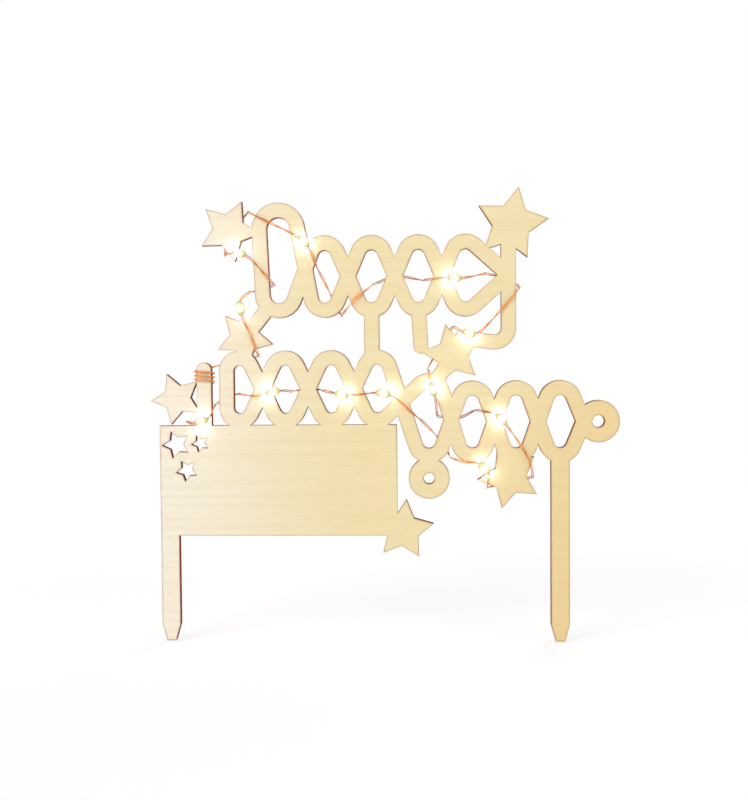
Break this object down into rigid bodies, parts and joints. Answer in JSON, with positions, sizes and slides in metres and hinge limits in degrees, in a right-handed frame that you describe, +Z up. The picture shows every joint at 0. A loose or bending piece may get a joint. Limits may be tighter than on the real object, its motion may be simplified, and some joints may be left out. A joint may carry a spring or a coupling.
{
  "type": "cake topper",
  "caption": "Plywood cake topper cut as twisted bands, stars and a blank plaque on two spikes, with a woven string of lamps and a coin-cell box behind.",
  "frame": {"origin": "midway between the two spikes, level with the plaque's lower edge where the cake's surface comes, in the middle of the sheet's thickness", "axes": "+X to the right and +Z up as seen from the front, +Y away from the viewer through the sheet"},
  "size_m": [0.1717, 0.0184, 0.1658],
  "materials": {
    "plywood": "bare laser-cut birch plywood with scorched edges",
    "copper": "enamelled copper",
    "lamp_resin": "clear epoxy",
    "lamp_chip": "phosphor",
    "foam": "closed-cell foam tape",
    "box_plastic": "moulded, fine satin",
    "cover_plastic": "moulded, fine satin",
    "cell_steel": "bright nickel-plated steel",
    "contact_metal": "nickel-plated spring steel",
    "board": "solder mask",
    "component_black": "moulded",
    "switch_metal": "tin-plated",
    "hot_glue": "clear hot glue"
  },
  "bodies": {
    "topper": {"plywood_sign": "plywood", "copper_wire": "copper", "foam_pad": "foam", "battery_case": "box_plastic", "coin_cell_1": "cell_steel", "coin_cell_2": "cell_steel", "contact_negative": "contact_metal", "contact_positive": "contact_metal", "circuit_board": "board", "resistor": "component_black", "switch_housing": "switch_metal", "glue_plug": "hot_glue", "led_drop_01": "lamp_resin", "led_drop_02": "lamp_resin", "led_drop_03": "lamp_resin", "led_drop_04": "lamp_resin", "led_drop_05": "lamp_resin", "led_drop_06": "lamp_resin", "led_drop_07": "lamp_resin", "led_drop_08": "lamp_resin", "led_drop_09": "lamp_resin", "led_drop_10": "lamp_resin", "led_drop_11": "lamp_resin", "led_drop_12": "lamp_resin", "led_chip_01": "lamp_chip", "led_chip_02": "lamp_chip", "led_chip_03": "lamp_chip", "led_chip_04": "lamp_chip", "led_chip_05": "lamp_chip", "led_chip_06": "lamp_chip", "led_chip_07": "lamp_chip", "led_chip_08": "lamp_chip", "led_chip_09": "lamp_chip", "led_chip_10": "lamp_chip", "led_chip_11": "lamp_chip", "led_chip_12": "lamp_chip"},
    "cover": {"battery_cover": "cover_plastic"},
    "switch": {"switch_lever": "component_black"}
  },
  "joints": [
    {"name": "battery_cover_slide", "type": "slide", "parent": "topper", "child": "cover", "axis": [1, 0, 0], "range_m": [0, 0.03]},
    {"name": "switch_slide", "type": "slide", "parent": "topper", "child": "switch", "axis": [1, 0, 0], "range_m": [0, 0.002]}
  ]
}
